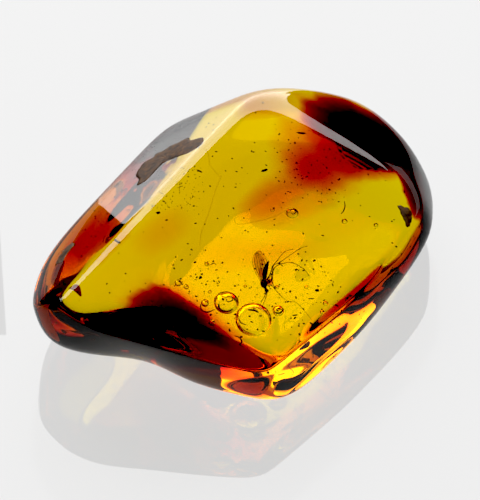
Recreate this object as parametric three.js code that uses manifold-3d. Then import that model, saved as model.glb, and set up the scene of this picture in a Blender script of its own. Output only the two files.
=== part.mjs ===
// Gnat in amber: a flat polished amber pebble with a gnat sealed inside it.
// Millimetres, +Z up. The pebble lies on the flat of its underside, z = 0, and the origin is on
// that flat, under the middle of the stone. +X runs along the pebble's long way.
import * as THREE from 'three';
import { mergeVertices } from 'three/addons/utils/BufferGeometryUtils.js';
import Module from 'manifold-3d';

const wasm = await Module();
wasm.setup();

// The stone
const STONE_MIDDLE = [0, 0, 5.0];

// The skin is a net: meridians from the top of the stone to its underside, crossed by rows. On
// each meridian the rows lie closest where the skin bends, at this many mm of length per radian.
const MERIDIANS = 84;
const ROWS = 30;
const LENGTH_PER_BEND = 9;
const MERIDIAN_SAMPLES = 240;

// Each ground face of the stone: the compass turn of the way it looks, from +X, and its rise over
// the horizon, in degrees; how far it lies from the stone's middle, in mm; and how sharp its edges
// are, where 10 is a soft pebble curve and 40 is a polished facet's crisp edge.
const STONE_FACES = {
  window: { turn: -37, rise: 81, distance: 4.1, sharpness: 40 },
  leftSlope: { turn: 145, rise: 55, distance: 7.9, sharpness: 30 },
  leftBrow: { turn: 160, rise: 11, distance: 15.2, sharpness: 24 },
  rightBevel: { turn: -32, rise: 38, distance: 11.3, sharpness: 36 },
  front: { turn: -102, rise: -4, distance: 14.8, sharpness: 36 },
  leftTip: { turn: -127, rise: 20, distance: 18.0, sharpness: 30 },
  backRim: { turn: 100, rise: 68, distance: 9.4, sharpness: 32 },
  backBrow: { turn: 113, rise: 29, distance: 13.5, sharpness: 24 },
  backRightBrow: { turn: 38, rise: 67, distance: 8.7, sharpness: 24 },
  rightBrow: { turn: 8, rise: 32, distance: 15.0, sharpness: 22 },
  rightFlank: { turn: -44, rise: 10, distance: 12.6, sharpness: 14 },
  frontUnder: { turn: -115, rise: -61, distance: 8.4, sharpness: 12 },
  leftEnd: { turn: -173, rise: -16, distance: 17.0, sharpness: 14 },
  leftUnder: { turn: 145, rise: -54, distance: 7.4, sharpness: 20 },
  back: { turn: 95, rise: 10, distance: 15.7, sharpness: 14 },
  backRight: { turn: 40, rise: 7, distance: 19.1, sharpness: 14 },
  rightUnder: { turn: -20, rise: -39, distance: 12.1, sharpness: 14 },
  backUnder: { turn: 56, rise: -76, distance: 5.9, sharpness: 12 },
  rightBelly: { turn: -35, rise: -68, distance: 7.8, sharpness: 24 },
  leftBelly: { turn: 170, rise: -62, distance: 7.6, sharpness: 20 },
  belly: { turn: 0, rise: -90, distance: 5.1, sharpness: 24 },
};

// The hollows: the shallow one in the front left flank, left by a lost flake, and the small pit in
// the left slope. Each has where it looks, its depth in mm and its spread over the stone in degrees.
const HOLLOWS = {
  frontFlake: { turn: -125, rise: -7, depth: 1.25, spread: 15 },
  slopePit: { turn: 129, rise: 22, depth: 0.12, spread: 5 },
};

// Newton steps that find the skin, and how near one the sum of the faces' shares must come
const NEWTON_STEPS = 40;
const NEWTON_NEARNESS = 1e-9;

// The pocket that holds the gnat, with the level of the parting between the two halves
const PARTING_LEVEL = 6.0;
const PARTING_GAP = 0.3;
const POCKET_MIDDLE = [3.6, -4.75, PARTING_LEVEL];
const POCKET_HALF_SIZE = [3.1, 4.5, 1.0];
const POCKET_SQUARENESS = 3;
const POCKET_SEGMENTS = [36, 16];

// Blocks this large cut the stone at a level, and mesh points nearer than this grow into one
const CUTTER_SIZE = 60;
const WELD_DISTANCE = 1e-5;

// The gnat, lying on its side with its head to the front and its belly to the right. Its places
// are measured from the root of its abdomen, in mm along the stone's own directions.
const GNAT_AT = [2.2, -5.1, PARTING_LEVEL];
const BODY_SEGMENTS = [12, 8];
const ABDOMEN = {
  length: 2.2, radius: 0.2, leastRadius: 0.02, rootAt: -0.25, bend: 0.095, rings: 7, groove: 0.025,
  stationsPerRing: 3, sides: 8, bluntness: 0.6, forwardness: 0.8,
};
const THORAX = { middle: [-0.04, -0.52, 0], halfSize: [0.28, 0.43, 0.29] };
const NECK = { middle: [0.08, -0.98, 0], halfSize: [0.1, 0.2, 0.1] };
const HEAD = { middle: [0.19, -1.25, 0], halfSize: [0.17, 0.19, 0.18] };
const MOUTHPARTS = { middle: [0.19, -1.5, 0], halfSize: [0.06, 0.18, 0.06] };

// A wing's two edges are curves from root to tip and back. The handles that shape them are given in
// half widths across and in lengths along.
const WING = {
  length: 3.7, halfWidth: 0.6, thickness: 0.05, root: [-0.1, -0.64], curveSegments: 10,
  bellyEdge: [[0.9, 0.2], [1.5, 0.95]],
  backEdge: [[-1.3, 0.95], [-1.2, 0.3]],
};
const WING_PLACES = [{ level: 0.17, lean: 6 }, { level: -0.22, lean: 10 }];
const LEG_RADIUS = 0.045;
const ANTENNA_RADIUS = 0.035;
const LIMB_SIDES = 6;
const STEPS_PER_JOINT = 3;

// The joints of the six legs and two antennae, from the body outwards, placed by hand
const LEGS = [
  [[0, -0.4, 0.1], [0.5, 0.42, 0.24], [0.68, 1.22, 0.2], [1.07, 1.9, 0.12], [1.72, 2.9, 0.1],
    [2.44, 3.23, 0.1]],
  [[0, -0.3, 0], [0.62, 0.5, 0.02], [0.77, 1.46, 0.02], [1.31, 1.83, 0], [2.99, 3.32, 0], [3.65, 3.66, 0]],
  [[0, -0.5, -0.1], [0.62, 0.05, -0.2], [0.78, 1.2, -0.2], [1.42, 1.73, -0.16], [2.4, 1.86, -0.1],
    [3.34, 1.23, -0.1], [3.79, 0.54, -0.1]],
  [[0, -0.62, 0.08], [0.5, -0.12, 0.16], [0.68, -0.45, 0.16], [0.9, -0.86, 0.12], [1.3, -0.79, 0.1]],
  [[0, -0.6, -0.08], [0.44, -0.28, -0.2], [0.6, 0.25, -0.12], [0.5, 0.7, -0.05]],
  [[0, -0.7, 0], [0.6, -0.68, 0.04], [0.84, -0.98, 0], [1.12, -1.36, -0.04], [1.5, -1.85, -0.06]],
];
const ANTENNAE = [
  [[0.16, -1.3, 0.06], [0.02, -1.9, 0.1], [-0.22, -2.4, 0.12], [-0.36, -2.85, 0.12]],
  [[0.2, -1.3, -0.06], [0.12, -1.95, -0.08], [-0.06, -2.5, -0.1], [-0.17, -2.85, -0.1]],
];

const amberMaterial = () => new THREE.MeshStandardMaterial({
  color: 0xe0a80c, roughness: 0.06, metalness: 0, transparent: true, opacity: 0.55,
});
const gnatMaterial = new THREE.MeshStandardMaterial({ color: 0x3a1606, roughness: 0.5, metalness: 0 });

// A closed mesh as a solid that can be joined and cut
function solidOf(geometry) {
  const bare = geometry.clone();
  bare.deleteAttribute('normal');
  bare.deleteAttribute('uv');
  const merged = mergeVertices(bare, WELD_DISTANCE);
  return new wasm.Manifold(new wasm.Mesh({
    numProp: 3,
    vertProperties: new Float32Array(merged.attributes.position.array),
    triVerts: new Uint32Array(merged.index.array),
  }));
}

// A joined or cut solid as a named piece
function pieceOf(name, solid, material) {
  const mesh = solid.getMesh();
  const geometry = new THREE.BufferGeometry();
  const places = new Float32Array(mesh.vertProperties);
  geometry.setAttribute('position', new THREE.BufferAttribute(places, 3));
  geometry.setIndex(new THREE.BufferAttribute(new Uint32Array(mesh.triVerts), 1));
  geometry.computeVertexNormals();
  const piece = new THREE.Mesh(geometry, material);
  piece.name = name;
  return piece;
}

// The unit vector that looks at a compass turn from +X and a rise over the horizon
function wayOf(turn, rise) {
  const t = THREE.MathUtils.degToRad(turn);
  const r = THREE.MathUtils.degToRad(rise);
  return new THREE.Vector3(Math.cos(t) * Math.cos(r), Math.sin(t) * Math.cos(r), Math.sin(r));
}

const faces = Object.values(STONE_FACES).map((face) => ({ ...face, way: wayOf(face.turn, face.rise) }));
const hollows = Object.values(HOLLOWS)
  .map((hollow) => ({ ...hollow, way: wayOf(hollow.turn, hollow.rise) }));

// How far the stone's skin lies from its middle along a unit vector. Every face in view adds its
// share, the distance reached over the face's own distance, to the power of its sharpness, and the
// skin is where the shares add up to one. Newton steps find that distance, and each hollow is then
// taken off it as a bell-shaped dip.
function skinDistance(way) {
  const shares = faces
    .map((face) => ({ slope: Math.max(face.way.dot(way), 0) / face.distance, power: face.sharpness }))
    .filter((share) => share.slope > 0);
  let distance = 1 / Math.max(...shares.map((share) => share.slope));
  for (let step = 0; step < NEWTON_STEPS; step += 1) {
    let sum = -1;
    let rate = 0;
    for (const share of shares) {
      const term = (share.slope * distance) ** share.power;
      sum += term;
      rate += (term * share.power) / distance;
    }
    distance -= sum / rate;
    if (Math.abs(sum) < NEWTON_NEARNESS) break;
  }
  for (const hollow of hollows) {
    const off = THREE.MathUtils.radToDeg(way.angleTo(hollow.way));
    distance -= hollow.depth * Math.exp(-((off / hollow.spread) ** 2));
  }
  return distance;
}

// A point on the skin, from its compass turn and its tilt away from straight up, in radians
function skinPoint(turn, tilt) {
  const way = new THREE.Vector3().setFromSphericalCoords(1, tilt, turn);
  way.set(way.z, way.x, way.y);
  return way.clone().multiplyScalar(skinDistance(way)).add(new THREE.Vector3(...STONE_MIDDLE));
}

// The tilts of the rows on one meridian: equal shares of its length and its bending together
function rowTilts(turn) {
  const samples = Array.from({ length: MERIDIAN_SAMPLES + 1 }, (_, i) => {
    const tilt = (Math.PI * i) / MERIDIAN_SAMPLES;
    return { tilt, point: skinPoint(turn, tilt) };
  });
  const shares = [0];
  for (let i = 1; i < samples.length; i += 1) {
    const step = samples[i].point.clone().sub(samples[i - 1].point);
    const next = samples[Math.min(i + 1, samples.length - 1)].point.clone().sub(samples[i].point);
    const bend = next.lengthSq() > 0 ? step.angleTo(next) : 0;
    shares.push(shares[i - 1] + step.length() + LENGTH_PER_BEND * bend);
  }
  const total = shares[shares.length - 1];
  return Array.from({ length: ROWS - 1 }, (_, k) => {
    const wanted = (total * (k + 1)) / ROWS;
    const i = shares.findIndex((share) => share >= wanted);
    const part = (wanted - shares[i - 1]) / (shares[i] - shares[i - 1]);
    return THREE.MathUtils.lerp(samples[i - 1].tilt, samples[i].tilt, part);
  });
}

// The whole stone: the net of meridians and rows, closed by one point at its top and underside
function stone() {
  const places = [skinPoint(0, 0)];
  for (let m = 0; m < MERIDIANS; m += 1) {
    const turn = (2 * Math.PI * m) / MERIDIANS;
    places.push(...rowTilts(turn).map((tilt) => skinPoint(turn, tilt)));
  }
  places.push(skinPoint(0, Math.PI));
  const rows = ROWS - 1;
  const at = (m, k) => 1 + (m % MERIDIANS) * rows + k;
  const last = places.length - 1;
  const triangles = [];
  for (let m = 0; m < MERIDIANS; m += 1) {
    triangles.push(0, at(m, 0), at(m + 1, 0));
    for (let k = 0; k < rows - 1; k += 1) {
      triangles.push(at(m, k), at(m, k + 1), at(m + 1, k + 1));
      triangles.push(at(m, k), at(m + 1, k + 1), at(m + 1, k));
    }
    triangles.push(last, at(m + 1, rows - 1), at(m, rows - 1));
  }
  const skin = new THREE.BufferGeometry().setFromPoints(places);
  skin.setIndex(triangles);
  return solidOf(skin);
}

// A big block whose underside or top lies at a level, to cut the stone with
function blockAbove(level) {
  const block = new THREE.BoxGeometry(CUTTER_SIZE, CUTTER_SIZE, CUTTER_SIZE);
  block.translate(0, 0, level + CUTTER_SIZE / 2);
  return solidOf(block);
}

function blockBelow(level) {
  return blockAbove(level - CUTTER_SIZE);
}

// The pocket: a flat pebble shape, squarer than an ellipsoid, that clears the gnat all round
function pocket() {
  const ball = new THREE.SphereGeometry(1, ...POCKET_SEGMENTS);
  const points = ball.attributes.position;
  const way = new THREE.Vector3();
  for (let i = 0; i < points.count; i += 1) {
    way.fromBufferAttribute(points, i);
    const sum = Math.abs(way.x) ** POCKET_SQUARENESS + Math.abs(way.y) ** POCKET_SQUARENESS
      + Math.abs(way.z) ** POCKET_SQUARENESS;
    way.multiplyScalar(sum ** (-1 / POCKET_SQUARENESS));
    points.setXYZ(i, way.x, way.y, way.z);
  }
  ball.scale(...POCKET_HALF_SIZE);
  ball.translate(...POCKET_MIDDLE);
  return solidOf(ball);
}

function ellipsoid({ middle, halfSize }) {
  const ball = new THREE.SphereGeometry(1, ...BODY_SEGMENTS);
  ball.scale(...halfSize);
  ball.translate(...middle);
  return solidOf(ball);
}

// A leg or an antenna: a round tube along a smooth path through its joints
function limb(joints, radius) {
  const path = new THREE.CatmullRomCurve3(joints.map((joint) => new THREE.Vector3(...joint)));
  const round = new THREE.EllipseCurve(0, 0, radius, radius).getPoints(LIMB_SIDES);
  const section = new THREE.Shape(round.slice(0, LIMB_SIDES));
  const steps = STEPS_PER_JOINT * (joints.length - 1);
  return solidOf(new THREE.ExtrudeGeometry(section, { extrudePath: path, steps, bevelEnabled: false }));
}

// The abdomen: a slender ringed spindle along +Y, bent towards the belly side
function abdomen() {
  const stations = ABDOMEN.stationsPerRing * ABDOMEN.rings;
  const profile = Array.from({ length: stations + 1 }, (_, i) => {
    const along = i / stations;
    const swell = Math.sin(Math.PI * along ** ABDOMEN.forwardness) ** ABDOMEN.bluntness;
    const groove = ABDOMEN.groove * Math.cos(2 * Math.PI * ABDOMEN.rings * along);
    const radius = Math.max(ABDOMEN.radius * swell - groove, ABDOMEN.leastRadius);
    const onAxis = i === 0 || i === stations;
    return new THREE.Vector2(onAxis ? 0 : radius, ABDOMEN.rootAt + along * ABDOMEN.length);
  });
  const spindle = new THREE.LatheGeometry(profile, ABDOMEN.sides);
  const points = spindle.attributes.position;
  for (let i = 0; i < points.count; i += 1) {
    points.setX(i, points.getX(i) + ABDOMEN.bend * points.getY(i) ** 2);
  }
  return solidOf(spindle);
}

// One wing: a thin plate, narrow at its root and widest past its middle, folded back over the body
function wing({ level, lean }) {
  const { length, halfWidth, thickness, root } = WING;
  const handles = (edge) => edge.flatMap(([across, along]) => [halfWidth * across, length * along]);
  const outline = new THREE.Shape();
  outline.moveTo(0, 0);
  outline.bezierCurveTo(...handles(WING.bellyEdge), 0, length);
  outline.bezierCurveTo(...handles(WING.backEdge), 0, 0);
  const plate = new THREE.ExtrudeGeometry(outline, {
    depth: thickness, bevelEnabled: false, curveSegments: WING.curveSegments,
  });
  plate.rotateZ(THREE.MathUtils.degToRad(lean));
  plate.translate(...root, level);
  return solidOf(plate);
}

// The whole gnat, its body, wings, legs and antennae grown together
function gnat() {
  const members = [
    abdomen(),
    ...[THORAX, NECK, HEAD, MOUTHPARTS].map(ellipsoid),
    ...WING_PLACES.map(wing),
    ...LEGS.map((joints) => limb(joints, LEG_RADIUS)),
    ...ANTENNAE.map((joints) => limb(joints, ANTENNA_RADIUS)),
  ];
  return members.reduce((body, member) => body.add(member)).translate(GNAT_AT);
}

const hollowStone = stone().subtract(pocket());
const lower = hollowStone.intersect(blockAbove(0)).intersect(blockBelow(PARTING_LEVEL - PARTING_GAP / 2));
const upper = hollowStone.intersect(blockAbove(PARTING_LEVEL + PARTING_GAP / 2));

const part = new THREE.Group();
part.name = 'gnat_in_amber';
part.add(pieceOf('amber_lower_half', lower, amberMaterial()));
part.add(pieceOf('amber_upper_half', upper, amberMaterial()));
part.add(pieceOf('gnat', gnat(), gnatMaterial));

export default part;
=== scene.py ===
import math
import bpy
import numpy as np
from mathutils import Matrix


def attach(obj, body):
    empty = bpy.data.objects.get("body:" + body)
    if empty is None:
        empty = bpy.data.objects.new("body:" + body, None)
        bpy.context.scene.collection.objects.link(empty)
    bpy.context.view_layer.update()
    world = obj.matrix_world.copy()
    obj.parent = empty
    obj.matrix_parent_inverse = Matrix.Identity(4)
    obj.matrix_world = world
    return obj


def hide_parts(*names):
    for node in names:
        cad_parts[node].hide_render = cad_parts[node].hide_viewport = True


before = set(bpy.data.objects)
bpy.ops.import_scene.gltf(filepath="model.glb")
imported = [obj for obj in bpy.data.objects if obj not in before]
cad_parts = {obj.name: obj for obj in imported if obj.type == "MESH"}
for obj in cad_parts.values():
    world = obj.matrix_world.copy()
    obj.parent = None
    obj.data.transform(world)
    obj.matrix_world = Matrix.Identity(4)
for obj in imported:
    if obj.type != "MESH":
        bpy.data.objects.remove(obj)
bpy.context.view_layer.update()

MM = 0.001

# The amber.
# One pebble of fossil resin, ground to a few broad faces and polished to a glassy skin. The gnat,
# the bubbles and the dark, cloudy zones of the resin are all sealed inside it.
STONE_MIDDLE = np.array([0, 0, 5.0])
# Each ground face: turn from +X and rise, in degrees; distance from the middle, in mm; sharpness.
STONE_FACES = {
    "window": (-37, 81, 4.1, 40),
    "left slope": (145, 55, 7.9, 30),
    "left brow": (160, 11, 15.2, 24),
    "right bevel": (-32, 38, 11.3, 36),
    "front": (-102, -4, 14.8, 36),
    "left tip": (-127, 20, 18.0, 30),
    "back rim": (100, 68, 9.4, 32),
    "back brow": (113, 29, 13.5, 24),
    "back right brow": (38, 67, 8.7, 24),
    "right brow": (8, 32, 15.0, 22),
    "right flank": (-44, 10, 12.6, 14),
    "front under": (-115, -61, 8.4, 12),
    "left end": (-173, -16, 17.0, 14),
    "left under": (145, -54, 7.4, 20),
    "back": (95, 10, 15.7, 14),
    "back right": (40, 7, 19.1, 14),
    "right under": (-20, -39, 12.1, 14),
    "back under": (56, -76, 5.9, 12),
    "right belly": (-35, -68, 7.8, 24),
    "left belly": (170, -62, 7.6, 20),
    "belly": (0, -90, 5.1, 24),
}
# The hollows: where each looks, in degrees; its depth in mm; and its spread in degrees.
HOLLOWS = {"front flake": (-125, -7, 1.25, 15), "slope pit": (129, 22, 0.12, 5)}
# Newton steps that settle the skin's distance.
NEWTON_STEPS = 14


def way_of(turn, rise):
    """Unit vectors that look at a compass turn from +X and a rise, in degrees: on the level the
    cosine and sine of the turn, shortened by the rise's cosine, and upwards the rise's sine."""
    turn, rise = np.radians(turn), np.radians(rise)
    level = np.cos(rise)
    return np.stack([np.cos(turn) * level, np.sin(turn) * level, np.sin(rise) + 0 * turn], -1)


def skin_distance(ways):
    """How far the stone's skin lies from its middle along unit vectors, in mm. Each face adds the
    distance reached over its own distance, to the power of its sharpness, and the skin is where
    these add up to one, found by Newton steps. Each hollow is then taken off as a bell."""
    turn, rise, distance, power = np.array(list(STONE_FACES.values()), float).T
    slope = np.maximum(ways @ way_of(turn, rise).T, 0) / distance
    reach = 1 / slope.max(-1)
    for step in range(NEWTON_STEPS):
        terms = (slope * reach[..., None]) ** power
        reach = reach - (terms.sum(-1) - 1) * reach / (terms * power).sum(-1)
    for turn, rise, depth, spread in HOLLOWS.values():
        off = np.degrees(np.arccos(np.clip(ways @ way_of(np.array(turn), np.array(rise)), -1, 1)))
        reach = reach - depth * np.exp(-((off / spread) ** 2))
    return reach


def skin_points(turn, tilt):
    """Points of the skin at a compass turn and a tilt away from straight up, in radians. The
    underside is flattened at the level of the floor."""
    turn, tilt = np.broadcast_arrays(turn, tilt)
    ways = np.stack([np.cos(turn) * np.sin(tilt), np.sin(turn) * np.sin(tilt), np.cos(tilt)], -1)
    points = STONE_MIDDLE + ways * skin_distance(ways)[..., None]
    points[..., 2] = np.maximum(points[..., 2], 0)
    return points


def net_faces(rings, round_, first, last):
    """Faces of a closed net: rings of points, each with round_ points, a fan to the point first
    above the top ring, four-sided faces between the rings, and a fan to the point last."""
    ring, place = np.meshgrid(np.arange(rings - 1), np.arange(round_), indexing="ij")
    here = 1 + ring * round_ + place
    beside = 1 + ring * round_ + (place + 1) % round_
    quads = np.stack([here, here + round_, beside + round_, beside], -1).reshape(-1, 4)
    one = 1 + np.arange(round_)
    two = 1 + (np.arange(round_) + 1) % round_
    low = (rings - 1) * round_
    top = np.stack([np.full(round_, first), one, two], -1)
    end = np.stack([np.full(round_, last), two + low, one + low], -1)
    return quads.tolist() + top.tolist() + end.tolist()


# The stone's net: its meridians and rows, the tilts at which a meridian is first sampled, and the
# mm of length that one radian of bending counts for.
MERIDIANS = 420
ROWS = 196
TILT_SAMPLES = 321
LENGTH_PER_BEND = 9


def stone_net():
    """The stone's points and faces. Meridians run from its top to its underside, and on each the
    rows are set at equal shares of its length and of its bending together, so that they crowd
    along the facets' edges."""
    tilts = np.linspace(0, np.pi, TILT_SAMPLES)
    turn = np.arange(MERIDIANS) * 2 * np.pi / MERIDIANS
    sampled = skin_points(turn[:, None], tilts[None, :])
    steps = np.diff(sampled, axis=1)
    length = np.linalg.norm(steps, axis=-1)
    along = steps / length[..., None]
    bend = np.arccos(np.clip((along[:, 1:] * along[:, :-1]).sum(-1), -1, 1))
    share = length.copy()
    share[:, 1:] += LENGTH_PER_BEND * bend
    share = np.concatenate([np.zeros((MERIDIANS, 1)), np.cumsum(share, 1)], 1)
    wanted = np.arange(1, ROWS) / ROWS
    tilt = np.stack([np.interp(wanted * s[-1], s, tilts) for s in share])
    net = skin_points(turn[:, None], tilt)
    rings = net.transpose(1, 0, 2).reshape(-1, 3)
    poles = skin_points(np.zeros(2), np.array([0, np.pi]))
    points = np.concatenate([poles[:1], rings, poles[1:]])
    points[:, 2] += underside_wave(points)
    return points, net_faces(ROWS - 1, MERIDIANS, 0, len(points) - 1)


# The uneven underside: half of its lift, and the height under which it starts, in mm.
WAVE_HALF = 0.04
WAVE_BELOW = 2


def underside_wave(points):
    """Hand grinding left the underside uneven. The lift is its half times one plus half of each of
    two sines, some 5 mm long, and it fades out over the last millimetre under its upper height."""
    x, y, z = points.T
    wave = WAVE_HALF * (1 + 0.5 * np.sin(1.1 * x + 0.6 * y + 1) + 0.5 * np.sin(1.3 * y - 0.5 * x + 2))
    return wave * np.clip(WAVE_BELOW - z, 0, 1)


def ball(middle, half, rings=10, round_=16):
    """A closed ellipsoid: rings from its top to its foot, each as wide as the sine of its tilt and as
    high as its cosine, and a point at either end."""
    tilt = np.pi * np.arange(1, rings + 1) / (rings + 1)
    turn = 2 * np.pi * np.arange(round_) / round_
    tilt, turn = np.meshgrid(tilt, turn, indexing="ij")
    net = np.stack([np.sin(tilt) * np.cos(turn), np.sin(tilt) * np.sin(turn), np.cos(tilt)], -1)
    points = np.concatenate([[[0, 0, 1]], net.reshape(-1, 3), [[0, 0, -1]]])
    return np.array(middle) + points * np.array(half), net_faces(rings, round_, 0, len(points) - 1)


# A bubble lies a little uphill towards the back: its rise over its length.
BUBBLE_LEAN = 0.14


def bubble(middle, half, flatness):
    """A closed hollow in the resin, its faces turned inwards, in mm: a ball squared off towards a
    flat pebble. Each point is divided by (width to the power flatness, plus height to the same
    power) to the power one over flatness, which leaves it round at 2."""
    points, faces = ball((0, 0, 0), (1, 1, 1), 12, 24)
    width, height = np.hypot(points[:, 0], points[:, 1]), np.abs(points[:, 2])
    points /= ((width ** flatness + height ** flatness) ** (1 / flatness))[:, None]
    points *= half
    points[:, 2] += BUBBLE_LEAN * points[:, 1]
    return points + middle, [face[::-1] for face in faces]


def joined(bodies):
    """The points and faces of several bodies as one list of each."""
    points, faces, start = [], [], 0
    for body_points, body_faces in bodies:
        points.append(body_points)
        faces += [[corner + start for corner in face] for face in body_faces]
        start += len(body_points)
    return np.concatenate(points), faces


def piece(name, points, faces, material, smooth=True):
    """A mesh from points in mm, riding on the stone's one body, with its material slot."""
    mesh = bpy.data.meshes.new(name)
    mesh.from_pydata((points * MM).tolist(), [], faces)
    mesh.polygons.foreach_set("use_smooth", np.full(len(mesh.polygons), smooth))
    mesh.materials.append(material)
    made = bpy.data.objects.new(name, mesh)
    bpy.context.scene.collection.objects.link(made)
    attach(made, "root")
    return made


def linear(code):
    """The linear red, green and blue of an sRGB hex value."""
    parts = np.array([int(code[i:i + 2], 16) for i in (1, 3, 5)]) / 255
    return tuple(np.where(parts <= 0.04045, parts / 12.92, ((parts + 0.055) / 1.055) ** 2.4))


def add(tree, kind, settings=(), **links):
    """Adds a node to a tree, sets its properties and sockets by name, and links its inputs."""
    node = tree.nodes.new(kind)
    for name, value in dict(settings).items():
        if name in node.inputs:
            node.inputs[name].default_value = value
        else:
            setattr(node, name, value)
    for name, output in links.items():
        tree.links.new(output, node.inputs[name.replace("_", " ")])
    return node


def blank(name):
    """A new material with an empty node tree and its output node."""
    material = bpy.data.materials.new(name)
    material.use_nodes = True
    material.node_tree.nodes.clear()
    return material, material.node_tree, material.node_tree.nodes.new("ShaderNodeOutputMaterial")


# Polished amber: clear, glassy, IOR 1.54. Light is lost in it as it goes, blue within a few mm,
# green slowly and red hardly at all, so thin parts are lemon yellow and long ways turn orange. The
# loss in a metre, of red, green and blue, is the density times one minus the colour.
AMBER_LOSS_PER_M = (5, 46, 660)
AMBER_DENSITY = 700
amber, tree, out = blank("polished amber")
colour = tuple(1 - rate / AMBER_DENSITY for rate in AMBER_LOSS_PER_M)
glass = add(tree, "ShaderNodeBsdfPrincipled", {
    "Base Color": (1, 1, 1, 1), "Roughness": 0.02, "IOR": 1.54, "Specular IOR Level": 0.35,
    "Transmission Weight": 1.0})
loss = add(tree, "ShaderNodeVolumeAbsorption", {"Color": (*colour, 1), "Density": AMBER_DENSITY})
tree.links.new(glass.outputs["BSDF"], out.inputs["Surface"])
tree.links.new(loss.outputs["Volume"], out.inputs["Volume"])

# The bubbles of air in the resin: middle and half size, in mm, and flatness.
BUBBLES = [
    ((1.3, -9.7, 6.5), (1.54, 1.6, 0.32), 5), ((-1.0, -8.0, 6.5), (1.07, 1.05, 0.4), 4),
    ((3.4, -8.7, 6.5), (0.5, 0.5, 0.3), 3), ((4.6, 1.8, 6.5), (0.55, 0.5, 0.22), 4),
    ((-2.8, -8.1, 6.5), (0.34, 0.34, 0.24), 3), ((-2.2, -10.1, 6.4), (0.3, 0.3, 0.2), 3),
    ((2.9, 2.1, 6.5), (0.2, 0.2, 0.14), 2), ((9.1, 1.1, 6.5), (0.26, 0.26, 0.16), 2),
    ((11.8, 0.8, 6.5), (0.2, 0.2, 0.14), 2), ((7.4, -7.7, 6.4), (0.24, 0.24, 0.14), 2),
    ((7.1, -8.6, 6.4), (0.2, 0.2, 0.14), 2), ((5.8, -6.1, 6.5), (0.18, 0.18, 0.13), 2),
    ((3.3, -6.3, 6.7), (0.2, 0.2, 0.14), 2), ((0.6, -6.2, 6.5), (0.15, 0.15, 0.12), 2),
    ((-2.4, -6.9, 6.5), (0.16, 0.16, 0.12), 2), ((-5.1, -6.1, 6.6), (0.3, 0.3, 0.2), 3),
    ((-4.4, -6.5, 6.6), (0.22, 0.22, 0.16), 3), ((-2.7, -4.0, 6.6), (0.2, 0.2, 0.14), 2),
]
points, faces = joined([stone_net()] + [bubble(*place) for place in BUBBLES])
stone = piece("amber_stone", points, faces, amber)
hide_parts("amber_lower_half", "amber_upper_half")

# The dark resin.
# Cloudy zones of darker resin inside the stone, full of bark dust or reddened by air as it set,
# and one black zone along the right rim that is painted shade. They have no skin of their own: light
# goes straight in, and is lost over a millimetre or two.
def smooth_loop(corners, count):
    """A closed round curve through given corners: Catmull-Rom pieces, sampled evenly in each."""
    corners = np.array(corners, float)
    at = np.arange(count) * len(corners) / count
    first = at.astype(int)
    t = (at - first)[:, None]
    a, b, c, d = (corners[(first + shift) % len(corners)] for shift in (-1, 0, 1, 2))
    return 0.5 * (2 * b + (c - a) * t + (2 * a - 5 * b + 4 * c - d) * t ** 2
                  + (3 * b - a - 3 * c + d) * t ** 3)


# A dark zone's net and limits: points round its outline, rings from its middle to its outline, the
# power by which it thins towards its edge, and its least height over the floor, in mm.
OUTLINE_POINTS = 144
LENS_RINGS = 18
EDGE_POWER = 1.4
LEAST_HEIGHT = 0.3


def dark_zone(name, corners, level, half, resin, clear):
    """A closed lens with a free outline, in mm, frayed by three sines round it. From its middle to
    its outline its half thickness falls as (1 - share squared) to the edge power, so its edge is
    soft. It is kept so many mm inside the stone."""
    outline = smooth_loop(corners, OUTLINE_POINTS)
    middle = outline.mean(0)
    spin = np.cross(outline - middle, np.roll(outline, -1, 0) - middle).sum()
    outline = outline if spin > 0 else outline[::-1]
    turn = np.linspace(0, 2 * math.pi, OUTLINE_POINTS, endpoint=False)[:, None]
    fray = 0.022 * np.sin(9 * turn + level) + 0.018 * np.sin(17 * turn + half) + 0.01 * np.sin(31 * turn)
    outline = middle + (outline - middle) * (1 + fray)
    share = np.sin(np.linspace(0, math.pi / 2, LENS_RINGS + 1))[1:]
    thick = half * (1 - share ** 2).clip(0) ** EDGE_POWER
    level_points = middle + share[:, None, None] * (outline - middle)
    top = np.dstack([level_points, np.broadcast_to((level + thick)[:, None], level_points.shape[:2])])
    low = np.dstack([level_points, np.broadcast_to((level - thick)[:, None], level_points.shape[:2])])
    rings = np.concatenate([top, low[-2::-1]]).reshape(-1, 3)
    ends = np.array([[*middle, level + half], [*middle, level - half]])
    points = np.concatenate([ends[:1], rings, ends[1:]]) - STONE_MIDDLE
    reach = np.linalg.norm(points, axis=1)
    most = skin_distance(points / reach[:, None]) - clear
    points = STONE_MIDDLE + points * np.minimum(1, most / reach)[:, None]
    points[:, 2] = np.maximum(points[:, 2], LEAST_HEIGHT)
    faces = net_faces(2 * LENS_RINGS - 1, OUTLINE_POINTS, 0, len(points) - 1)
    return piece(name, points, faces, resin, smooth=False)


def dark_resin(name, loss_per_m):
    """Clear resin with no skin of its own, so its surface has an IOR of 1. It takes light at these
    rates a metre, each the density times one minus the colour, and the density is a little over
    the largest rate, so that no part of the colour is black."""
    material, tree, out = blank(name)
    density = max(loss_per_m) * 1.02
    skin = add(tree, "ShaderNodeBsdfPrincipled", {
        "Base Color": (1, 1, 1, 1), "Roughness": 0.0, "IOR": 1.0, "Transmission Weight": 1.0})
    loss = add(tree, "ShaderNodeVolumeAbsorption", {
        "Color": (*(1 - rate / density for rate in loss_per_m), 1), "Density": density})
    tree.links.new(skin.outputs["BSDF"], out.inputs["Surface"])
    tree.links.new(loss.outputs["Volume"], out.inputs["Volume"])
    return material


# Resin full of fine bark dust: dark red at a millimetre, black at three. Along the right rim it is
# painted shade.
black_resin = dark_resin("black resin", (900, 3200, 7000))
# Resin reddened by air before it set: red brown, and orange where it is thin.
red_resin = dark_resin("red brown resin", (160, 900, 4000))
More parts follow.
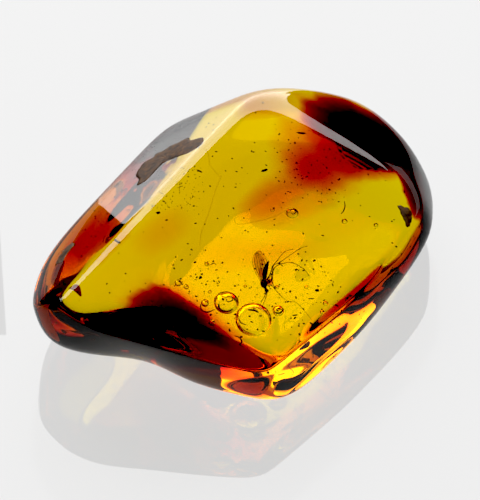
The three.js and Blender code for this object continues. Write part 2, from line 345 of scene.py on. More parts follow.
# The same, less reddened: it turns the yellow behind it orange.
orange_resin = dark_resin("orange resin", (40, 260, 900))
# A thin haze that warms the yellow a little.
faint_resin = dark_resin("faint orange resin", (30, 150, 500))
# Brown resin under the back rim, which dulls every colour.
brown_resin = dark_resin("brown resin", (110, 300, 700))

# The dark zones: level and half thickness in mm, their resin, how many mm they stay inside the skin,
# and their outline, as places on the level in mm.
DARK_ZONES = {
    "dark_front_mass": (5.9, 1.6, black_resin, 0.3, [
        (-9.9, -8.7), (-8.2, -10.6), (-5.8, -11.6), (-3.2, -12.1), (-1.6, -12.6), (-0.2, -12.8),
        (-0.4, -11.4), (-1.6, -10.0), (-3.0, -8.3), (-4.7, -7.1), (-6.3, -5.9), (-7.9, -6.0),
        (-9.2, -7.0)]),
    "red_front_halo": (5.4, 1.1, red_resin, 0.45, [
        (-10.6, -9.2), (-8.6, -12.4), (-4.5, -13.8), (-1.0, -14.8), (2.4, -14.8), (1.6, -12.4),
        (0.2, -10.4), (-1.4, -8.8), (-4.0, -6.5), (-6.2, -5.2), (-8.2, -5.3), (-9.8, -6.7)]),
    "orange_front_haze": (5.3, 0.8, orange_resin, 0.6, [
        (-11.0, -9.2), (-8.6, -13.0), (-4.5, -14.4), (0, -15.0), (3.4, -14.4), (2.8, -12.2),
        (1.2, -9.8), (-0.8, -7.8), (-3.6, -5.4), (-6.0, -4.2), (-8.4, -4.4), (-10.4, -6.2)]),
    "dark_back_mass": (4.6, 2.7, black_resin, 0.3, [
        (5.4, 12.6), (7.4, 11.0), (9.4, 9.4), (11.0, 7.9), (12.6, 7.4), (14.4, 7.4), (16.5, 7.5),
        (18.0, 9.0), (15.5, 12.0), (12.0, 14.5), (8.0, 16.0), (5.0, 15.0)]),
    # Painted shade: black resin that darkens the right rim.
    "right_rim_painted_shade": (4.6, 2.2, black_resin, 0.4, [
        (13.0, 9.4), (13.7, 6.8), (14.3, 4.5), (14.9, 2.0), (15.2, -0.5), (17.5, -2.0), (19.0, 3.0),
        (18.5, 7.0), (16.0, 11.0)]),
    "brown_back_rim": (4.6, 1.7, brown_resin, 0.5, [
        (-9.0, 9.6), (-6.0, 11.6), (-2.5, 13.0), (1.0, 13.7), (5.0, 13.6), (5.5, 16.0), (0.0, 16.8),
        (-6.0, 15.0), (-10.0, 12.0)]),
    "red_back_halo": (4.9, 1.9, red_resin, 0.45, [
        (4.6, 13.2), (5.4, 10.8), (7.0, 8.6), (8.9, 6.4), (10.6, 6.2), (12.6, 6.4), (14.6, 6.4),
        (17.0, 6.2), (19.0, 9.0), (15.5, 13.0), (12.0, 15.5), (8.0, 16.5), (4.6, 15.6)]),
    "orange_back_haze": (4.8, 2.0, orange_resin, 0.6, [
        (2.6, 12.4), (2.2, 9.6), (2.6, 7.0), (4.2, 4.4), (7.4, 3.2), (9.4, 4.2), (11.0, 5.6),
        (13.4, 8.0), (11.0, 12.0), (6.0, 14.6), (3.4, 14.4)]),
    "brown_back_smoke": (5.6, 0.9, red_resin, 0.75, [
        (3.4, 9.4), (3.8, 6.8), (5.2, 5.0), (7.6, 4.2), (9.4, 5.2), (10.4, 7.2), (9.2, 9.6),
        (6.4, 11.0)]),
    "orange_low_veil": (5.0, 1.0, orange_resin, 0.9, [
        (-0.8, 2.2), (1.2, 0.6), (3.6, 0.6), (6.6, 2.2), (8.6, 3.8), (6.0, 6.2), (2.6, 6.4),
        (0.2, 4.6)]),
    "faint_left_veil": (5.2, 0.9, faint_resin, 0.8, [
        (-9.6, -1.6), (-8.0, -3.2), (-5.4, -1.6), (-3.8, 0.8), (-4.6, 3.2), (-6.6, 2.6), (-8.6, 0.6)]),
    "faint_middle_veil": (4.8, 0.5, faint_resin, 0.6, [
        (-5.6, -2.6), (-3.0, -4.4), (1.4, -3.6), (5.2, -2.6), (9.0, -1.6), (8.0, 0.2), (3.0, -0.4),
        (-1.6, 0.2)]),
    "brown_flake_veil": (6.0, 0.35, red_resin, 1.0, [
        (-0.5, 1.4), (0.4, 0.5), (1.8, 0.8), (3.4, 1.7), (5.3, 3.5), (7.0, 5.3), (9.0, 8.0), (8.4, 9.2),
        (6.1, 9.1), (3.5, 7.3), (1.4, 5.6), (-0.1, 3.3)]),
    "brown_left_shade": (6.4, 0.8, red_resin, 0.5, [
        (-15.6, -5.6), (-13.6, -6.4), (-11.2, -4.0), (-9.0, -1.0), (-8.4, 1.4), (-10.4, 3.6),
        (-13.0, 1.4), (-15.4, -2.4)]),
}
for name, (level, half, resin, clear, outline) in DARK_ZONES.items():
    dark_zone(name, outline, level, half, resin, clear)

# The weathered crust.
# Patches of the stone's old brown skin that the polish didn't reach: in the pit of the left slope,
# along the slope's foot and at the right end. Crumbly ochre crust also lies under the front.

# A patch's net: points round its outline and rings from its middle to its outline. Its foot's depth
# is in mm.
PATCH_POINTS = 72
PATCH_RINGS = 10
FOOT_DEPTH = 0.04


def crust(outline, height, seed, depth=0.0, ragged=0.0):
    """A closed patch that follows the skin, in mm: its outline as places near the skin, carried
    inwards to its middle in rings. Its top stands over the skin, or over a level so deep under it,
    by a random share of its height that dies out at the edge, and its foot lies under that level.
    Its edge goes in and out by a ragged share, as the sum of two sines."""
    chance = np.random.default_rng(seed)
    outline = smooth_loop(outline, PATCH_POINTS)
    middle = outline.mean(0)
    spin = np.cross(outline - middle, np.roll(outline, -1, 0) - middle).sum(0)
    outline = outline if spin @ (middle - STONE_MIDDLE) > 0 else outline[::-1]
    turn = np.linspace(0, 2 * math.pi, PATCH_POINTS, endpoint=False)[:, None]
    outline = middle + (outline - middle) * (1 + ragged * (np.sin(7 * turn + seed) + np.sin(12 * turn)))
    share = np.linspace(0, 1, PATCH_RINGS + 1)[1:]
    level = middle + share[:, None, None] * (outline - middle)
    ways = level - STONE_MIDDLE
    ways /= np.linalg.norm(ways, axis=-1)[..., None]
    reach = skin_distance(ways) - depth
    rough = chance.uniform(0.25, 1, reach.shape) * height * (1 - share[:, None] ** 4)
    top = STONE_MIDDLE + ways * (reach + rough)[..., None]
    low = STONE_MIDDLE + ways * (reach - FOOT_DEPTH)[..., None]
    way = (middle - STONE_MIDDLE) / np.linalg.norm(middle - STONE_MIDDLE)
    at = skin_distance(way[None])[0] - depth
    ends = STONE_MIDDLE + np.outer([at + height / 2, at - FOOT_DEPTH], way)
    rings = np.concatenate([top, low[::-1]]).reshape(-1, 3)
    points = np.concatenate([ends[:1], rings, ends[1:]])
    return points, net_faces(2 * PATCH_RINGS, PATCH_POINTS, 0, len(points) - 1)


# Weathered amber crust: brown, dull and crazed in grains of 0.45 mm.
CRAZE_MM = 0.4545
crazed, tree, out = blank("weathered crust")
place = add(tree, "ShaderNodeTexCoord")
cells = add(tree, "ShaderNodeTexNoise", {"Scale": 1 / (CRAZE_MM * MM), "Detail": 6.0, "Roughness": 0.7},
            Vector=place.outputs["Object"])
tints = add(tree, "ShaderNodeValToRGB", Fac=cells.outputs["Fac"])
tints.color_ramp.elements[0].position = 0.35
tints.color_ramp.elements[0].color = (*linear("#1c0c04"), 1)
tints.color_ramp.elements[1].position = 0.68
tints.color_ramp.elements[1].color = (*linear("#64421f"), 1)
shell = add(tree, "ShaderNodeBsdfPrincipled", {
    "Roughness": 0.6, "IOR": 1.54, "Specular IOR Level": 0.4}, Base_Color=tints.outputs["Color"])
tree.links.new(shell.outputs["BSDF"], out.inputs["Surface"])
# Outlines of the patches, as places near the skin in mm: in the slope's pit, at its foot and at the
# right end.
CRUSTS = [
    [(-8.7, 5.0, 7.7), (-8.5, 7.3, 6.9), (-7.3, 8.3, 7.0), (-6.4, 8.6, 7.3), (-5.1, 9.3, 7.9),
     (-3.9, 8.9, 8.7), (-2.8, 8.1, 9.7), (-3.9, 6.7, 9.7), (-5.0, 6.9, 8.9), (-6.1, 6.7, 8.3),
     (-7.0, 5.9, 8.1), (-7.7, 4.6, 8.3)],
    [(-15.3, -3.8, 7.3), (-14.9, -2.4, 7.0), (-14.2, -1.4, 7.0), (-13.8, -1.7, 7.4), (-14.5, -3.0, 7.5),
     (-15.0, -4.0, 7.7)],
    [(13.7, 2.4, 7.6), (14.5, 2.1, 7.4), (14.7, 1.5, 7.3), (14.5, 0.7, 7.2), (14.1, 0.3, 7.2),
     (13.9, 1.2, 7.4)],
]
for number, outline in enumerate(CRUSTS):
    points, faces = crust(outline, height=0.07, seed=number, ragged=0.05)
    piece(f"crust_patch_{number + 1}", points, faces, crazed)

# Ochre crust, light and crumbly, a quarter of a millimetre inside the left tip and the underside of
# the front.
ochre, tree, out = blank("ochre crust")
shell = add(tree, "ShaderNodeBsdfPrincipled", {
    "Base Color": (*linear("#cc5c22"), 1), "Roughness": 0.8, "IOR": 1.54})
tree.links.new(shell.outputs["BSDF"], out.inputs["Surface"])
OCHRE_CRUSTS = [
    [(-16.0, -7.2, 2.9), (-16.6, -6.0, 3.4), (-17.0, -3.7, 3.6), (-16.4, -3.0, 3.4), (-15.8, -4.0, 3.1),
     (-15.9, -5.6, 3.0), (-15.9, -6.6, 2.9)],
    [(-6.5, -11.5, 1.2), (-6.5, -8.8, 0.3), (-4.0, -7.8, 0.2), (-1.5, -8.8, 0.2), (0.5, -10.2, 0.3),
     (1.6, -11.8, 0.8), (-1.5, -13.0, 1.5), (-4.5, -12.6, 1.4)],
]
for number, outline in enumerate(OCHRE_CRUSTS):
    points, faces = crust(outline, height=0.04, seed=number, depth=0.25)
    piece(f"ochre_crust_{number + 1}", points, faces, ochre)

# The gnat.
# A slender fly, 3.6 mm long, that settled in the resin on its side: brown horny skin over the body
# and legs, long feelers, and two clear wings folded back over the ringed abdomen.

# All its places are in mm, from where it lies in the stone, with its head towards -Y.
GNAT_AT = np.array([2.2, -5.1, 6.0])
ABDOMEN_ROOT = -0.25
ABDOMEN_LENGTH = 2.2
ABDOMEN_RADIUS = 0.225
ABDOMEN_BEND = 0.095
ABDOMEN_RINGS = 7
GROOVE_DEPTH = 0.018
LEG_RADIUS = 0.043
ANTENNA_RADIUS = 0.034
# The other parts of the body: middle and half size.
BODY_LUMPS = {
    "thorax": ((-0.04, -0.5, 0), (0.3, 0.47, 0.31)),
    "hump": ((-0.14, -0.4, 0), (0.22, 0.26, 0.22)),
    "neck": ((0.08, -0.98, 0), (0.11, 0.2, 0.11)),
    "head": ((0.19, -1.25, 0), (0.18, 0.2, 0.18)),
    "mouthparts": ((0.2, -1.52, 0), (0.045, 0.16, 0.045)),
}
# Bristles: how many, the middle and half size of the lump they stand on, their length and the seed.
BRISTLES = {
    "thorax": (46, (-0.04, -0.52, 0), (0.27, 0.42, 0.29), 0.17, 5),
    "head": (20, (0.19, -1.25, 0), (0.15, 0.18, 0.16), 0.1, 6),
}
# The joints of the legs and of the antennae.
LEGS = [
    [(0, -0.4, 0.1), (0.5, 0.42, 0.24), (0.68, 1.22, 0.2), (1.07, 1.9, 0.12), (1.72, 2.9, 0.1),
     (2.44, 3.23, 0.1)],
    [(0, -0.3, 0), (0.62, 0.5, 0.02), (0.77, 1.46, 0.02), (1.31, 1.83, 0), (2.99, 3.32, 0),
     (3.65, 3.66, 0)],
    [(0, -0.5, -0.1), (0.62, 0.05, -0.2), (0.78, 1.2, -0.2), (1.42, 1.73, -0.16), (2.4, 1.86, -0.1),
     (3.34, 1.23, -0.1), (3.79, 0.54, -0.1)],
    [(0, -0.62, 0.08), (0.5, -0.12, 0.16), (0.68, -0.45, 0.16), (0.9, -0.86, 0.12), (1.3, -0.79, 0.1)],
    [(0, -0.6, -0.08), (0.44, -0.28, -0.2), (0.6, 0.25, -0.12), (0.5, 0.7, -0.05)],
    [(0, -0.7, 0), (0.6, -0.68, 0.04), (0.84, -0.98, 0), (1.12, -1.36, -0.04), (1.5, -1.85, -0.06)],
]
ANTENNAE = [
    [(0.16, -1.3, 0.06), (0.02, -1.9, 0.1), (-0.22, -2.4, 0.12), (-0.36, -2.85, 0.12)],
    [(0.2, -1.3, -0.06), (0.12, -1.95, -0.08), (-0.06, -2.5, -0.1), (-0.17, -2.85, -0.1)],
]


def smooth_path(joints, steps):
    """An open round curve through joints: Catmull-Rom pieces, with so many steps in each."""
    joints = np.array(joints, float)
    padded = np.concatenate([2 * joints[:1] - joints[1:2], joints, 2 * joints[-1:] - joints[-2:-1]])
    at = np.linspace(0, len(joints) - 1, steps * (len(joints) - 1) + 1)
    first = np.minimum(at.astype(int), len(joints) - 2)
    t = (at - first)[:, None]
    a, b, c, d = (padded[first + shift] for shift in range(4))
    return 0.5 * (2 * b + (c - a) * t + (2 * a - 5 * b + 4 * c - d) * t ** 2
                  + (3 * b - a - 3 * c + d) * t ** 3)


def tube(path, radii, sides):
    """A closed round tube along a path, with a radius at each point and pointed ends. Each ring
    lies square to the path, started from one fixed direction that the path never follows."""
    along = np.gradient(path, axis=0)
    along /= np.linalg.norm(along, axis=1)[:, None]
    across = np.cross(along, [0.08, 0.05, 1.0])
    across /= np.linalg.norm(across, axis=1)[:, None]
    third = np.cross(across, along)
    angle = np.arange(sides) * 2 * np.pi / sides
    spokes = np.cos(angle)[None, :, None] * across[:, None] + np.sin(angle)[None, :, None] * third[:, None]
    rings = (path[:, None] + np.asarray(radii)[:, None, None] * spokes).reshape(-1, 3)
    ends = path[[0, -1]] + along[[0, -1]] * np.asarray(radii)[[0, -1], None] * [[-0.6], [0.6]]
    points = np.concatenate([ends[:1], rings, ends[1:]])
    return points, net_faces(len(path), sides, 0, len(points) - 1)


def abdomen():
    """A spindle along Y. Its radius goes as (sine of pi times the share of its length to the power
    0.8) to the power 0.6, less a groove's depth times the sixth power of a cosine between its
    rings, and it is bent towards the belly by its bend times y squared."""
    share = np.linspace(0.004, 0.996, 85)
    y = ABDOMEN_ROOT + ABDOMEN_LENGTH * share
    path = np.stack([ABDOMEN_BEND * y ** 2, y, 0 * y], -1)
    swell = np.sin(np.pi * share ** 0.8) ** 0.6
    groove = np.abs(np.cos(ABDOMEN_RINGS * np.pi * share)) ** 6
    radii = ABDOMEN_RADIUS * swell - GROOVE_DEPTH * groove
    return tube(path, np.maximum(radii, 0.02), 20)


def leg(joints, radius):
    """A leg along its joints: its radius falls by six tenths from hip to foot, and swells by half
    at each joint, as the sixteenth power of a cosine."""
    path = smooth_path(joints, 12)
    share = np.linspace(0, 1, len(path))
    knob = np.cos(np.linspace(0, (len(joints) - 1) * np.pi, len(path))) ** 16
    return tube(path, radius * (1 - 0.6 * share + 0.55 * knob), 8)


def hairs(count, middle, half, length, seed):
    """Short straight three-sided bristles that stand on an ellipsoid, most of them on its back,
    and lean backwards."""
    chance = np.random.default_rng(seed)
    ways = chance.normal(size=(count, 3)) - [0.5, 0, 0]
    ways /= np.linalg.norm(ways, axis=1)[:, None]
    feet = np.array(middle) + ways * np.array(half) * 0.97
    tips = feet + (ways + [0, 0.6, 0]) * length * chance.uniform(0.5, 1, (count, 1))
    paths = np.stack([feet, (feet + tips) / 2, tips], 1)
    return [tube(path, [0.008, 0.006, 0.002], 3) for path in paths]


# Horny brown skin of the gnat, darkened by the resin.
horn, tree, out = blank("gnat skin")
shell = add(tree, "ShaderNodeBsdfPrincipled", {
    "Base Color": (*linear("#2b1206"), 1), "Roughness": 0.45, "IOR": 1.5})
tree.links.new(shell.outputs["BSDF"], out.inputs["Surface"])

body = [abdomen()] + [ball(*lump) for lump in BODY_LUMPS.values()]
body += [leg(joints, LEG_RADIUS) for joints in LEGS]
body += [leg(joints, ANTENNA_RADIUS) for joints in ANTENNAE]
for patch in BRISTLES.values():
    body += hairs(*patch)
points, faces = joined(body)
gnat = piece("gnat_body", points + GNAT_AT, faces, horn)
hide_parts("gnat")

# Facet eyes, smooth and nearly black.
eye_skin, tree, out = blank("gnat eye")
shell = add(tree, "ShaderNodeBsdfPrincipled", {
    "Base Color": (*linear("#120604"), 1), "Roughness": 0.2, "IOR": 1.5})
tree.links.new(shell.outputs["BSDF"], out.inputs["Surface"])
EYE_HALF_SIZE = (0.115, 0.13, 0.08)
points, faces = joined([ball((0.15, -1.24, side * 0.1), EYE_HALF_SIZE) for side in (1, -1)])
piece("gnat_eyes", points + GNAT_AT, faces, eye_skin)

# The wings: length and membrane thickness in mm, the root on the thorax, and for each wing its
# level over the gnat's middle in mm and its lean in degrees.
WING_LENGTH = 3.7
WING_THICKNESS = 0.02
WING_ROOT = (-0.1, -0.64)
WINGS = [(0.17, 6), (-0.22, 10)]
# The wing's half width before and behind its middle line, in mm, as its outline scales it.
FRONT_WIDTH = 0.5
HIND_WIDTH = 0.46


def wing_outline(share, side):
    """Half the wing's width at a share of its length, in mm: a width times (sine of pi times share
    to the power 1.25) to the power 0.75, times one plus a quarter of the share. So it is nothing
    at the root, widest past the middle and round at the tip, and fuller at the front edge."""
    width = np.sin(np.pi * share ** 1.25) ** 0.75 * (1 + 0.25 * share)
    return side * (FRONT_WIDTH if side > 0 else HIND_WIDTH) * width


def wing_place(points, level, lean):
    """Wing points, drawn with the root at zero and the tip along Y, turned by their lean and set on
    the gnat, with a slight wave along Y."""
    lean = math.radians(lean)
    x = points[:, 0] * math.cos(lean) - points[:, 1] * math.sin(lean)
    y = points[:, 0] * math.sin(lean) + points[:, 1] * math.cos(lean)
    z = points[:, 2] + level + 0.03 * np.sin(3 * y)
    return GNAT_AT + np.stack([x + WING_ROOT[0], y + WING_ROOT[1], z], -1)


def wing_net():
    """A wing's membrane: a flat closed net of rings round its long middle line, a little thicker in
    its middle than at its edge."""
    share = np.linspace(0.01, 0.99, 40)
    edge = np.concatenate([
        np.stack([wing_outline(share, 1), share * WING_LENGTH], -1),
        np.stack([wing_outline(share[::-1], -1), share[::-1] * WING_LENGTH], -1)])
    middle = np.stack([0 * edge[:, 1], edge[:, 1]], -1)
    thin = WING_THICKNESS / 2
    thick = 1.2 * thin
    rings = []
    for inward, height in ((0.5, thick), (1.0, thin), (1.0, -thin), (0.5, -thick)):
        ring = middle + inward * (edge - middle)
        rings.append(np.column_stack([ring, np.full(len(ring), height)]))
    ends = np.array([[0, WING_LENGTH / 2, thick], [0, WING_LENGTH / 2, -thick]])
    points = np.concatenate([ends[:1], *rings, ends[1:]])
    return points, net_faces(4, len(edge), 0, len(points) - 1)


# Wing membrane: thin horn, clear, tinted pale brown by the resin.
membrane, tree, out = blank("gnat wing membrane")
film = add(tree, "ShaderNodeBsdfPrincipled", {
    "Base Color": (*linear("#f2e2b8"), 1), "Roughness": 0.05, "IOR": 1.0, "Transmission Weight": 1.0})
tree.links.new(film.outputs["BSDF"], out.inputs["Surface"])
# The veins: which side of the wing's middle line each runs on, and how far out, as a share.
VEINS = [(1, 0.97), (1, 0.6), (1, 0.25), (-1, 0.15), (-1, 0.55), (-1, 0.97)]
VEIN_RADIUS = 0.014
share = np.linspace(0.03, 0.97, 30)
bodies = []
veins = []
for level, lean in WINGS:
    points, faces = wing_net()
    bodies.append((wing_place(points, level, lean), faces))
    for side, part in VEINS:
        line = np.stack([wing_outline(share, side) * part, share * WING_LENGTH, 0 * share], -1)
        veins.append(tube(wing_place(line, level, lean), np.full(len(share), VEIN_RADIUS), 5))
points, faces = joined(bodies)
piece("gnat_wings", points, faces, membrane)
points, faces = joined(veins)
piece("gnat_wing_veins", points, faces, horn)

# Stains round the gnat, where its juices reddened the resin: two spots past the wings' middle, a
# streak along the abdomen and a patch by the thorax. Each has a middle and a half size.
STAINS = [((-0.22, 1.99, -0.05), (0.17, 0.15, 0.1)), ((-0.26, 1.62, -0.05), (0.14, 0.16, 0.1)),
          ((-0.32, 0.75, -0.05), (0.2, 0.62, 0.12)), ((0.45, -0.3, 0), (0.36, 0.42, 0.16))]
stained_resin = dark_resin("stained resin", (900, 3600, 6000))
points, faces = joined([ball(middle, half) for middle, half in STAINS])
piece("gnat_stains", points + GNAT_AT, faces, stained_resin, smooth=False)

# The bits in the resin.
# Crumbs of bark and soil, splinters and fine dust that fell in while the resin was sticky, curled
# fibres round the large bubbles, and one loose fibre by the gnat.

# The crumbs: place, half length, half width, all in mm, and turn in degrees.
CRUMBS = [
    (3.14, -5.98, 6.0, 0.16, 0.12, 20), (2.58, -5.31, 6.0, 0.13, 0.1, 70), (2.62, -5.9, 6.0, 0.1, 0.08, 0),
    (-6.9, 1.4, 6.5, 0.2, 0.17, 0), (-3.4, 6.1, 6.5, 0.36, 0.08, -30), (2.2, 6.4, 6.5, 0.42, 0.14, 25),
    (-3.2, -5.4, 6.5, 0.22, 0.16, 60), (-3.1, -5.0, 6.4, 0.14, 0.1, 10), (-2.2, -3.9, 6.5, 0.2, 0.06, 40),
    (-3.7, -3.8, 6.5, 0.14, 0.12, 0), (6.7, -6.4, 6.5, 0.22, 0.17, 20), (6.8, -6.0, 6.6, 0.12, 0.1, 0),
    (6.2, -7.3, 6.5, 0.32, 0.05, 4), (4.8, -9.1, 6.5, 0.28, 0.08, 8), (6.5, -3.2, 6.5, 0.13, 0.11, 0),
    (-4.9, -5.6, 6.5, 0.12, 0.1, 0), (-10.1, -2.0, 6.5, 0.17, 0.14, 0), (0.3, -11.6, 6.6, 0.16, 0.12, 0),
    (3.0, 2.4, 6.3, 0.12, 0.1, 0), (5.4, 10.2, 7.4, 0.5, 0.12, -4), (1.0, -9.6, 7.0, 0.12, 0.1, 0),
    (1.2, -10.2, 7.0, 0.16, 0.08, -20), (0.8, -11.0, 7.0, 0.08, 0.08, 0), (-0.2, -9.2, 6.5, 0.16, 0.14, 0),
    (-0.9, -8.9, 6.3, 0.2, 0.14, 30),
]


def crumb(place, chance):
    """A rough closed lump of some thirty faces: a ball whose points are pushed in and out at
    random, drawn out along its length and turned."""
    x, y, z, length, width, turn = place
    points, faces = ball((0, 0, 0), (1, 1, 1), 3, 6)
    points = points * chance.uniform(0.7, 1.15, (len(points), 1)) * [length, width, width * 0.8]
    c, s = math.cos(math.radians(turn)), math.sin(math.radians(turn))
    along, across, up = points.T
    return np.stack([along * c - across * s, along * s + across * c, up], -1) + [x, y, z], faces


def inside_stone(points, clear):
    """Which points lie inside the stone by more than so many mm."""
    ways = points - STONE_MIDDLE
    reach = np.linalg.norm(ways, axis=1)
    return (skin_distance(ways / reach[:, None]) - reach > clear) & (points[:, 2] > clear)


# How many mm the dust stays inside the skin, and the most that a grain is longer than it is wide.
DUST_CLEAR = 0.4
GRAIN_STRETCH = 2.2


def dust(count, low, high, sizes, seed):
    """Places and sizes of dust grains, spread evenly at random in a box and kept in the stone. A
    grain is up to a little over twice as long as it is wide."""
    chance = np.random.default_rng(seed)
    places = chance.uniform(low, high, (count, 3))
    places = places[inside_stone(places, DUST_CLEAR)]
    size = chance.uniform(*sizes, len(places))
    longer = chance.uniform(1, GRAIN_STRETCH, len(places))
    turn = chance.uniform(0, 180, len(places))
    return np.column_stack([places, size * longer, size, turn])


# Bark dust and soil: matt, nearly black brown.
bark, tree, out = blank("bark dust")
grain = add(tree, "ShaderNodeBsdfPrincipled", {
    "Base Color": (*linear("#2a1608"), 1), "Roughness": 0.8, "IOR": 1.45})
tree.links.new(grain.outputs["BSDF"], out.inputs["Surface"])
chance = np.random.default_rng(11)
points, faces = joined([crumb(place, chance) for place in CRUMBS])
piece("crumbs", points, faces, bark)
# The dust: how many grains are tried, two corners of their box and their least and largest half
# width, in mm, and the seed.
DUST = {
    "all through": (340, (-14, -13, 4.5), (15, 13, 8.6), (0.03, 0.08), 21),
    "by the left ridge": (170, (-8.0, 1.0, 7.4), (-3.0, 6.0, 8.6), (0.02, 0.05), 22),
    "round the gnat": (130, (-5.0, -11.5, 5.0), (8.5, -3.0, 8.0), (0.035, 0.1), 23),
    "in the back haze": (70, (3.0, 3.0, 5.5), (9.5, 10.0, 8.0), (0.03, 0.08), 24),
}
grains = np.concatenate([dust(*patch) for patch in DUST.values()])
points, faces = joined([crumb(place, chance) for place in grains])
piece("fine_dust", points, faces, bark)

# The fibres, the curled ones first: the places each runs through and its largest radius, in mm.
FIBRES = [
    ([(-1.75, -8.0, 6.3), (-1.7, -8.5, 6.3), (-1.3, -8.85, 6.3), (-0.75, -8.85, 6.3),
      (-0.4, -8.6, 6.3)], 0.13),
    ([(-1.0, -7.6, 6.9), (-0.55, -7.45, 6.9), (-0.45, -7.9, 6.9), (-0.85, -8.1, 6.9),
      (-1.0, -7.8, 6.9)], 0.05),
    ([(0.9, -8.9, 6.95), (1.4, -8.95, 6.95), (1.75, -9.15, 6.95)], 0.1),
    ([(0.1, -9.9, 6.95), (0.3, -10.3, 6.95), (0.7, -10.5, 6.95)], 0.06),
    ([(3.1, -9.0, 6.8), (3.5, -9.1, 6.8), (3.8, -8.8, 6.8)], 0.08),
    ([(4.3, 1.6, 6.9), (4.6, 2.0, 6.9), (4.95, 1.8, 6.9), (4.7, 1.5, 6.9), (4.5, 1.7, 6.9)], 0.045),
    ([(-2.0, -8.6, 6.2), (-2.6, -8.9, 6.2), (-3.1, -8.7, 6.2), (-3.2, -8.1, 6.2)], 0.07),
    ([(3.4, -6.8, 6.2), (4.2, -7.5, 6.2), (4.9, -7.6, 6.2), (5.9, -8.9, 6.2), (6.2, -9.4, 6.2)], 0.018),
    ([(9.1, 3.3, 6.5), (9.15, 2.7, 6.55), (9.0, 2.2, 6.5), (8.8, 1.9, 6.5)], 0.05),
    ([(-0.3, -11.5, 6.6), (0.1, -11.7, 6.7), (0.35, -12.1, 6.6), (0.15, -12.4, 6.6),
      (0.45, -12.6, 6.6)], 0.06),
    ([(-2.9, -3.7, 6.5), (-2.5, -4.1, 6.6), (-2.1, -3.9, 6.6), (-1.9, -4.0, 6.5)], 0.035),
]
bodies = []
for joints, radius in FIBRES:
    path = smooth_path(joints, 8)
    swell = 0.45 + 0.55 * np.sin(np.linspace(0.15, 3.0, len(path)))
    bodies.append(tube(path, radius * swell, 6))
points, faces = joined(bodies)
piece("fibres", points, faces, bark)

# The hairline cracks.
# Fine cracks from the stone's drying out, closed again by pale resin that seeped in: thin threads
# of it, a little dull, and paler than the yellow.
CRACK_RADIUS = 0.014
pale, tree, out = blank("healed crack")
line = add(tree, "ShaderNodeBsdfPrincipled", {
    "Base Color": (*linear("#f4dc8a"), 1), "Roughness": 0.4, "IOR": 1.54})
tree.links.new(line.outputs["BSDF"], out.inputs["Surface"])
CRACKS = [
    [(-1.5, 5.4, 7.0), (-2.0, 3.8, 7.0), (-2.3, 2.4, 7.0), (-2.6, 1.1, 7.0), (-3.1, -0.6, 7.0),
     (-3.3, -2.2, 7.0)],
    [(-0.5, 1.2, 6.6), (-0.1, 0.4, 6.6), (1.4, 0.7, 6.6), (3.2, 1.4, 6.6), (4.4, 2.4, 6.6)],
    [(-3.4, 8.6, 7.9), (-2.6, 7.4, 7.9), (-2.4, 6.0, 7.9), (-1.5, 4.8, 7.9)],
]
bodies = []
for joints in CRACKS:
    path = smooth_path(joints, 8)
    bodies.append(tube(path, np.full(len(path), CRACK_RADIUS), 5))
points, faces = joined(bodies)
piece("hairline_cracks", points, faces, pale)

# The table.
# A sheet of gloss white acrylic on a table lit evenly from below, with a painted pool of light that
# makes it a little brighter right under the stone. It lies a hair under the stone's foot, so that the
# two don't share a plane.
TABLE_HALF_MM = 600
TABLE_DROP_MM = 0.03


def sheet(name, corners, material):
    """A flat sheet with its corners in mm, which belongs to the stage and not to the stone."""
    mesh = bpy.data.meshes.new(name)
    mesh.from_pydata((np.array(corners, float) * MM).tolist(), [], [tuple(range(len(corners)))])
    mesh.materials.append(material)
    made = bpy.data.objects.new(name, mesh)
    bpy.context.scene.collection.objects.link(made)
    return made


white, tree, out = blank("white gloss acrylic")
place = add(tree, "ShaderNodeTexCoord")
painted_pool_distance = add(tree, "ShaderNodeVectorMath", {"operation": "LENGTH"})
tree.links.new(place.outputs["Object"], painted_pool_distance.inputs[0])
# Painted pool of light: the table's glow is 0.71 within 2 mm of its middle, under the stone, and falls to
# 0.66 beyond 17 mm.
near = add(tree, "ShaderNodeMapRange", {
    "interpolation_type": "SMOOTHSTEP", "From Min": 2 * MM, "From Max": 17 * MM, "To Min": 0.71,
    "To Max": 0.66}, Value=painted_pool_distance.outputs["Value"])
shell = add(tree, "ShaderNodeBsdfPrincipled", {
    "Base Color": (*linear("#595959"), 1), "Roughness": 0.8, "Coat Weight": 0.75, "Coat Roughness": 0.0,
    "Specular IOR Level": 0.0, "Emission Color": (1, 1, 1, 1)}, Emission_Strength=near.outputs["Result"])
tree.links.new(shell.outputs["BSDF"], out.inputs["Surface"])
TABLE_CORNERS = [(-1, -1, 0), (1, -1, 0), (1, 1, 0), (-1, 1, 0)]
table = sheet("floor", np.array(TABLE_CORNERS) * TABLE_HALF_MM, white)
table.location.z = -TABLE_DROP_MM * MM

# The studio's light.
# A large soft panel behind the stone that its upper faces mirror, a smaller one at the right, and
# a small lamp that throws the shadow, in a dim white room.
world = bpy.data.worlds.new("studio")
bpy.context.scene.world = world
world.use_nodes = True
world.node_tree.nodes["Background"].inputs["Color"].default_value = (1.0, 1.0, 1.0, 1)
world.node_tree.nodes["Background"].inputs["Strength"].default_value = 0.07


def softbox(name, turn, rise, away, size, radiance):
    """A flat soft light that faces the stone from a compass turn and rise, in degrees, with its
    distance and size in metres. Its power is radiance times pi times its area."""
    light = bpy.data.lights.new(name, "AREA")
    light.shape = "RECTANGLE"
    light.size, light.size_y = size
    light.energy = radiance * math.pi * size[0] * size[1]
    lamp = bpy.data.objects.new(name, light)
    way = way_of(np.array(turn), np.array(rise))
    lamp.location = way * away
    lamp.rotation_euler = (math.radians(90 - rise), 0, math.radians(turn + 90))
    bpy.context.scene.collection.objects.link(lamp)
    return lamp


softbox("panel behind", 102, 28, 0.45, (0.46, 0.5), 4.6)
softbox("panel right", 46, 36, 0.45, (0.2, 0.16), 1.2)
lamp = softbox("small lamp", 92, 37, 0.6, (0.03, 0.03), 430)
lamp.visible_glossy = False
lamp.visible_transmission = False

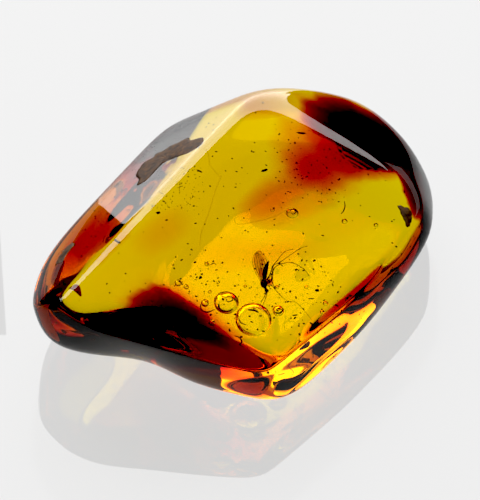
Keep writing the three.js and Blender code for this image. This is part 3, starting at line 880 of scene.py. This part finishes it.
# The black cards.
# Matt black card, propped behind the stone and out of the picture, and a sheet of gloss black
# acrylic on the table from 50 mm behind it. The stone and the table mirror them.
card_black, tree, out = blank("matt black card")
matt = add(tree, "ShaderNodeBsdfPrincipled", {"Base Color": (*linear("#191919"), 1), "Roughness": 1.0})
tree.links.new(matt.outputs["BSDF"], out.inputs["Surface"])
CARDS_MM = {
    "near card": [(-22.6, 30, 14), (-22.6, 30, 44), (-45, 30, 44), (-45, 30, 14)],
    "left card": [(-45.5, 80, 0), (-45.5, 80, 5), (-43, 80, 20), (-39, 80, 45), (-130, 80, 45),
                  (-130, 80, 0)],
    "right card": [(10, 44, 0), (60, 44, 0), (60, 44, 11), (10, 44, 11)],
}
for name, corners in CARDS_MM.items():
    card = sheet(name, corners, card_black)
    card.visible_camera = False
    card.visible_shadow = False
    card.visible_diffuse = False

# Gloss black acrylic: a mirror with hardly any colour of its own.
black_gloss, tree, out = blank("black gloss acrylic")
shell = add(tree, "ShaderNodeBsdfPrincipled", {
    "Base Color": (*linear("#1d1d1d"), 1), "Roughness": 0.0, "IOR": 1.5})
tree.links.new(shell.outputs["BSDF"], out.inputs["Surface"])
black_sheet = sheet("black sheet", [(-150, 50, 0), (80, 50, 0), (80, 300, 0), (-150, 300, 0)], black_gloss)
black_sheet.visible_camera = False
black_sheet.visible_diffuse = False

# The camera.
# At the photo's angle: 50 degrees above the table, 0.4 m away, looking along +Y. The stone's middle
# lies three pixels left of the picture's middle and three above it.
CAMERA_RISE = math.radians(50)
CAMERA_AWAY_MM = 400
MM_PER_PIXEL = 1 / 11.68
PICTURE_HEIGHT = 500
OFF_MIDDLE = 3
SENSOR_MM = 36
BLACK_LEVEL = 0.035
back = np.array([0, -math.cos(CAMERA_RISE), math.sin(CAMERA_RISE)])
up = np.array([0, math.sin(CAMERA_RISE), math.cos(CAMERA_RISE)])
right = np.array([1, 0, 0])
target = STONE_MIDDLE + OFF_MIDDLE * MM_PER_PIXEL * (right - up)
camera_data = bpy.data.cameras.new("camera")
camera_data.lens = SENSOR_MM * CAMERA_AWAY_MM / (PICTURE_HEIGHT * MM_PER_PIXEL)
camera_data.clip_start, camera_data.clip_end = 0.01, 10
camera = bpy.data.objects.new("camera", camera_data)
camera.location = (target + back * CAMERA_AWAY_MM) * MM
camera.rotation_euler = (math.pi / 2 - CAMERA_RISE, 0, 0)
bpy.context.scene.collection.objects.link(camera)
bpy.context.scene.camera = camera
view = bpy.context.scene.view_settings
view.view_transform = "Standard"
view.use_curve_mapping = True
view.curve_mapping.black_level = (BLACK_LEVEL, BLACK_LEVEL, BLACK_LEVEL)
